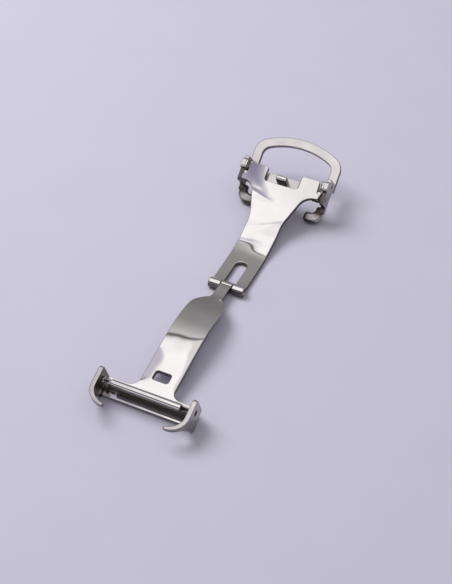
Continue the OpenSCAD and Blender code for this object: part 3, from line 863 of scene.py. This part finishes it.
# %% Side plates and claws
DIMPLES = ((0.0, 0.0), (3.403, -1.78))
cheek_ring = outline(
    [(PLATE_FAR, 0.25), (3.8, 0.55), (3.55, 1.5), (1.7, 1.75), (1.5, 0.55), (-0.75, 0.55),
     (-1.15, 0.15), (-1.15, -1.73), (-1.5, -2.63), (-2.6, -2.73), (-2.2, CLAW_LOW),
     (-1.6, -3.93), (1.2, -3.34), (LOOP_START, LOOP_TOP), (PLATE_FAR, LOOP_TOP)],
    [0.3, 0.2, 0.5, 0.5, 0.2, 0.2, 0.2, 0.2, 0.1, 0.1, 0.1, 0.3, 0.8, 0.4, 0.1], 0.6, 0.14)
cheek = plate(cheek_ring, stand(PIVOT, FRAME_SLOPE, HALF), 1.0, 0.14,
              holes=[hole_ring(y, z, 0.22, 20) for y, z in DIMPLES], grid=0.5)
nub = plate(outline([(3.58, 0.2), (3.58, 1.5), (1.68, 1.75), (1.68, 0.2)], [0.1, 0.5, 0.5, 0.1],
                    0.5, 0.15), stand(PIVOT, FRAME_SLOPE, 9.1), 0.5, 0.15)
claw = plate(outline([(5.8, -4.95), (9.85, -4.95), (9.85, -1.1), (8.0, -1.1), (8.0, -2.8),
                      (5.8, -2.8)], [0.75, 2.3, 0.3, 0.3, 0.9, 0.75], 0.5, 0.55),
             lie(PIVOT, FRAME_SLOPE, CLAW_LOW + 1.5), 1.5, 0.55, steps=6)


def cheek_painted_shade(p, n):
    """Painted shade as on a cheek, and on the low edges, the claws and in the two dimples, but for
    a painted highlight on each claw: a spot that takes the shade off, falling off with the fourth
    power."""
    y, z = tilt((0, 0), -FRAME_SLOPE, p[:, 1] - PIVOT[0], p[:, 2] - PIVOT[1])
    claws = z < CLAW_LOW + 1.55
    # painted highlight: a spot on each claw where most of the painted shade is taken off
    spot = claws * np.exp(-((np.abs(p[:, 0]) - 7.9) / 1.8) ** 4 - ((y + 3.75) / 0.95) ** 4)
    low = (0.55 * claws + 0.9 * (z < 0.62) * (y < 1.6)) * (1 - outwards(p, n))
    dimples = sum(np.hypot(y - y0, z - z0) < 0.38 for y0, z0 in DIMPLES)
    share = np.maximum(cheeked(FRAME_SLOPE, 0.55)(p, n), low) * (1 - 0.78 * spot)
    return np.clip(np.maximum(share, dimples), 0, 1)


plate_skins = (cheek, nub, claw)
for hand, skins in (("right", plate_skins), ("left", map(mirrored, plate_skins))):
    piece("side_plate_%s_satin" % hand, "frame", "side_plate_" + hand, satin_316, *skins,
          painted_shade=cheek_painted_shade)

# %% [markdown]
# ## The loop
# The strap's long end runs through a D-shaped loop of flat satin band. Its far side is a wide
# arc, and small arcs join it to straight arms. A curve of even thickness wouldn't do, because
# the inner corners are tighter than the outer ones, so both lines are computed as arcs that
# touch.


# %% Loop
def arched(half, reach, arch, corner):
    """Points and outward directions of one line of the loop: straight arms, two corner arcs and
    the far arc of radius arch. A corner arc touches the far arc where the line through both
    centres meets it, so the centres lie arch - corner apart."""
    middle = reach - arch
    cy = middle + np.sqrt((arch - corner) ** 2 - (half - corner) ** 2)
    turn = np.arctan2(cy - middle, half - corner)
    a = np.linspace(0, turn, 14)
    b = np.linspace(turn, np.pi - turn, 40)[1:-1]
    near, far = np.stack([np.cos(a), np.sin(a)], 1), np.stack([np.cos(b), np.sin(b)], 1)
    corner_arc = np.array([half - corner, cy]) + corner * near
    arm = np.array([[half, LOOP_START], [half, (LOOP_START + cy) / 2]])
    other = np.array([-1, 1])
    p = np.concatenate([arm, corner_arc, np.array([0, middle]) + arch * far,
                        corner_arc[::-1] * other, arm[::-1] * other])
    n = np.concatenate([[[1, 0]] * 2, near, far, near[::-1] * other, [[-1, 0]] * 2])
    return p, n


BAND = 2.0
outer_p, outer_n = arched(HALF, 12.1, 18.4, 3.2)
inner_p, inner_n = arched(HALF - BAND, 10.1, 16.4, 2.0)
loop_ring = np.concatenate([outer_p, inner_p[::-1]]), np.concatenate([outer_n, -inner_n[::-1]])
loop = plate(loop_ring, lie(PIVOT, FRAME_SLOPE, LOOP_TOP), 1.3, 0.2)
piece("loop_satin", "frame", "buckle_loop", satin_316, loop, painted_shade=sheared_edge_shade(FRAME_SLOPE))

# %% [markdown]
# ## The deck, the catch and the peg
# Between the side plates lies a deck with a flange at each end. On it is the catch plate with
# the stud that enters the lower blade's window, and under it the peg for the strap's holes. A
# bevelled block would do for the stud. As a plate, its side view carried across the strap, it
# gets its rounded top from its outline.

# %% Deck, catch plate, stud and peg
deck = plate(outline([(7.15, 0.1), (7.15, 1.27), (INSIDE, 1.27), (INSIDE, 2.35), (-INSIDE, 2.35),
                      (-INSIDE, 1.27), (-7.15, 1.27), (-7.15, 0.1)],
                     [0.1, 0.1, 0.1, 0.15, 0.15, 0.1, 0.1, 0.1], 1.0, 0.1),
             lie(PIVOT, DECK_SLOPE, 0.02), 0.9, 0.1)
flange = plate(outline([(2.35, 0.02), (1.27, 0.02), (1.27, -0.88), (3.07, -2.03), (4.22, -1.83),
                        (4.22, -0.53)], [0.1, 0.1, 0.2, 0.3, 0.4, 0.4], 0.5, 0.1),
               stand(PIVOT, DECK_SLOPE, INSIDE), 0.98, 0.1)
catch = plate(outline([(3.5, 0.1), (3.5, 2.25), (-3.5, 2.25), (-3.5, 0.1)], 0.15, 0.6, 0.08),
              lie(PIVOT, DECK_SLOPE, 0.47), 0.45, 0.08)
STUD_HALF = 1.2


def stud_place(u, v, d):
    """The stud's side view, carried across the strap from its right side to its left."""
    y, z = tilt(PIVOT, DECK_SLOPE, u, v)
    return np.stack([STUD_HALF - d + 0 * y, y, z], -1)


stud = plate(outline([(1.49, 0.02), (1.49, 3.07), (0.39, 3.07), (0.39, 0.02)],
                     [0.05, 0.5, 0.5, 0.05], 0.3, 0.22), stud_place, 2 * STUD_HALF, 0.22)
peg = turned([(3.8, 0), (3.8, 0.8), (0.9, 0.8), (0.9, 0.5), (0.0, 0.5), (0.0, 0)],
             [0, 0.72, 0.1, 0.05, 0.05, 0], square_to(PIVOT, DECK_SLOPE, 0.94, -0.88 + 0.9))
piece("cross_plate_satin", "frame", "cross_plate", satin_316, deck, flange, mirrored(flange),
      painted_shade=sheared_edge_shade(DECK_SLOPE))
piece("catch_plate_satin", "frame", "catch_plate", satin_316, catch, painted_shade=sheared_edge_shade(DECK_SLOPE))
piece("catch_stud_polished", "frame", "catch_stud", polished_316, stud,
      painted_shade=sheared_edge_shade(DECK_SLOPE))
piece("strap_peg_polished", "frame", "strap_peg", polished_316, peg)

# %% [markdown]
# ## Pivot pins and rivets
# A pin on each side lets the frame tilt, and a headed rivet holds each flange to its side
# plate. Discs would do for the outer ends that show in the dimples, but the pieces are whole,
# because the frame opens.


# %% Pivot pins and rivets
def end_painted_shade(p, n):
    """Painted shade on the outer ends, inside the dimples."""
    return (np.abs(p[:, 0]) > 9.8).astype(float)


pin = rod(0.55, 7.4, 9.9, along_x(PIVOT))
rivet = turned([(9.9, 0), (9.9, 0.5), (8.0, 0.5), (8.0, 0.75), (7.75, 0.75), (7.75, 0)],
               [0, 0.06, 0, 0.03, 0.1, 0], along_x(tilt(PIVOT, DECK_SLOPE, 3.67, -1.13)), 32)
for kind, shape in (("pivot_pin", pin), ("rivet", rivet)):
    for hand, skin in (("right", shape), ("left", mirrored(shape))):
        node = "%s_%s" % (kind, hand)
        piece(node + "_turned", "frame", node, turned_303, skin, painted_shade=end_painted_shade)

# %% [markdown]
# ## The table
# A plain sheet of pale lilac-grey paper. It could curl up behind as a backdrop, but the view
# looks down on it, so one large square will do. It is a floor, not part of the object.

# %% Floor
FLOOR = 3.0
floor_mesh = bpy.data.meshes.new("table")
floor_mesh.from_pydata([(-FLOOR, -FLOOR, 0), (FLOOR, -FLOOR, 0), (FLOOR, FLOOR, 0),
                        (-FLOOR, FLOOR, 0)], [], [(0, 1, 2, 3)])
floor = bpy.data.objects.new("table", floor_mesh)
bpy.context.scene.collection.objects.link(floor)
# paper, uncoated: matt and almost even; its fibre clouds are drawn about 17 mm wide
paper = bpy.data.materials.new("paper_matt_lilac_grey")
paper.use_nodes = True
t = paper.node_tree
t.nodes.clear()
spot = add(t, "ShaderNodeTexCoord").outputs["Object"]
fibre = add(t, "ShaderNodeTexNoise", {"Vector": spot, "Scale": 60.0, "Detail": 2.0})
shade = add(t, "ShaderNodeMix", {
    0: fibre.outputs["Fac"], 6: linear("#bebccc"), 7: linear("#c2c0d0")}, data_type="RGBA")
matt = add(t, "ShaderNodeBsdfPrincipled", {
    "Base Color": shade.outputs[2], "Roughness": 0.8, "Specular IOR Level": 0.2})
add(t, "ShaderNodeOutputMaterial", {"Surface": matt.outputs["BSDF"]})
floor_mesh.materials.append(paper)
print("table:", 2 * FLOOR, "m wide")

# %% [markdown]
# ## The surroundings
# Polished steel shows its surroundings, so the surroundings are the light. Lamps could stand
# round the clasp, but a ramp over the height gives softer steps with less noise: a big round
# softbox overhead with a thin dark rim, in a grey room that darkens towards the horizon. It
# differs on the near side and to the right. Pale low walls stand on all sides but the far one,
# where the polished blades would show them.

# %% Surroundings
CLEAR_SIDE = np.array([-0.406, 0.914, 0.0])
WARMTH = np.array([1.0, 0.985, 0.995])
world = bpy.data.worlds.new("studio")
world.use_nodes = True
bpy.context.scene.world = world
t = world.node_tree
t.nodes.clear()
look = add(t, "ShaderNodeTexCoord").outputs["Generated"]
height = add(t, "ShaderNodeSeparateXYZ", {"Vector": look}).outputs["Z"]


def bands(values):
    """A ramp over the sine of the elevation; each band is (sine, brightness)."""
    ramp = add(t, "ShaderNodeValToRGB", {"Fac": height})
    stops = ramp.color_ramp.elements
    for i, (at, value) in enumerate(values):
        stop = stops[i] if i < 2 else stops.new(at)
        stop.position = at
        stop.color = (*(value * WARMTH).tolist(), 1)
    return ramp.outputs["Color"]


def patch(towards, edge, full, fade="SMOOTHSTEP"):
    """Share of a patch of the surroundings: the dot product of the direction looked at with
    towards, which is 0 at edge and 1 at full, with a soft border between."""
    dot = add(t, "ShaderNodeVectorMath", {0: look, 1: tuple(towards)}, operation="DOT_PRODUCT")
    return add(t, "ShaderNodeMapRange", {
        "Value": dot.outputs["Value"], "From Min": edge, "From Max": full},
        interpolation_type=fade).outputs["Result"]


room_and_rim = [(0.0, 0.18), (0.174, 0.18), (0.375, 0.20), (0.5, 0.22), (0.60, 0.245),
                (0.695, 0.27), (0.766, 0.32), (0.819, 0.41), (0.848, 0.52), (0.858, 0.56),
                (0.8632, 0.08), (0.8688, 0.08)]
overhead = [(0.950, 1.0), (0.963, 0.84), (1.0, 0.72)]
far_side = bands(room_and_rim + [(0.873, 0.78), (0.884, 0.92), (0.895, 1.0)] + overhead)
right_side = bands(room_and_rim + [(0.873, 0.66), (0.890, 0.70), (0.96, 0.78), (1.0, 1.0)])
near_side = bands([(0.0, 0.40), (0.30, 0.40), (0.44, 0.04), (0.60, 0.06), (0.70, 0.30),
                   (0.78, 0.80), (0.86, 1.0)] + overhead)
low_walls = bands([(0.0, 0.50), (0.30, 0.50), (0.44, 0.0)])
far = add(t, "ShaderNodeMix", {
    0: patch((0.743, 0.669, 0.886), 0.799, 0.814), 6: far_side, 7: right_side}, data_type="RGBA")
both = add(t, "ShaderNodeMix", {
    0: patch(-CLEAR_SIDE, 0.0, 0.35), 6: far.outputs[2], 7: near_side}, data_type="RGBA")
walled = add(t, "ShaderNodeMix", {
    0: patch(CLEAR_SIDE, 0.70, 0.45), 6: both.outputs[2], 7: low_walls},
    data_type="RGBA", blend_type="LIGHTEN")

# %% [markdown]
# ## The cards
# A card is a tinted board that a photographer stands near the work, so that the steel shows
# it. An object would also show from behind, so each card is a round patch of the surroundings.
# One shows in the left wing and gets darker inwards, one in the lower blade's left edge.

# %% Cards
WING_CARD, BLADE_CARD = (-0.4316, -0.0997, 0.8965), (-0.45, 0.24, 0.861)
in_card = add(t, "ShaderNodeMath", {
    0: patch(WING_CARD, 0.9875, 0.9935), 1: patch(BLADE_CARD, 0.9914, 0.9954)},
    operation="MAXIMUM")
violet = add(t, "ShaderNodeMix", {
    0: patch(WING_CARD, 0.990, 0.9995, "LINEAR"), 6: linear("#c0bdcb"), 7: linear("#8a879d")},
    data_type="RGBA")
room = add(t, "ShaderNodeMix", {
    0: in_card.outputs["Value"], 6: walled.outputs[2], 7: violet.outputs[2]}, data_type="RGBA")
sky = add(t, "ShaderNodeBackground", {"Color": room.outputs[2], "Strength": 1.15})
add(t, "ShaderNodeOutputWorld", {"Surface": sky.outputs["Background"]})
print("surroundings:", len(t.nodes), "nodes")

# %% [markdown]
# ## The lamp
# The photograph's soft shadow falls to the right. The surroundings alone would leave almost
# none, and a sun would make it hard, so a round softbox stands to the left. It isn't seen in
# the steel, where it would show as a second softbox.

# %% Lamp
LAMP_AT = np.array([-0.30, 0.05, 0.45])
lamp_data = bpy.data.lights.new("softbox_left", "AREA")
lamp_data.shape, lamp_data.size, lamp_data.energy = "DISK", 0.35, 2.2
lamp = bpy.data.objects.new("softbox_left", lamp_data)
bpy.context.scene.collection.objects.link(lamp)
lamp.location = LAMP_AT
lamp.rotation_mode = "QUATERNION"
lamp.rotation_quaternion = Vector((-LAMP_AT).tolist()).to_track_quat("-Z", "Y")
lamp.visible_glossy = False
print("lamp: %.2f m from the clasp" % np.linalg.norm(LAMP_AT))
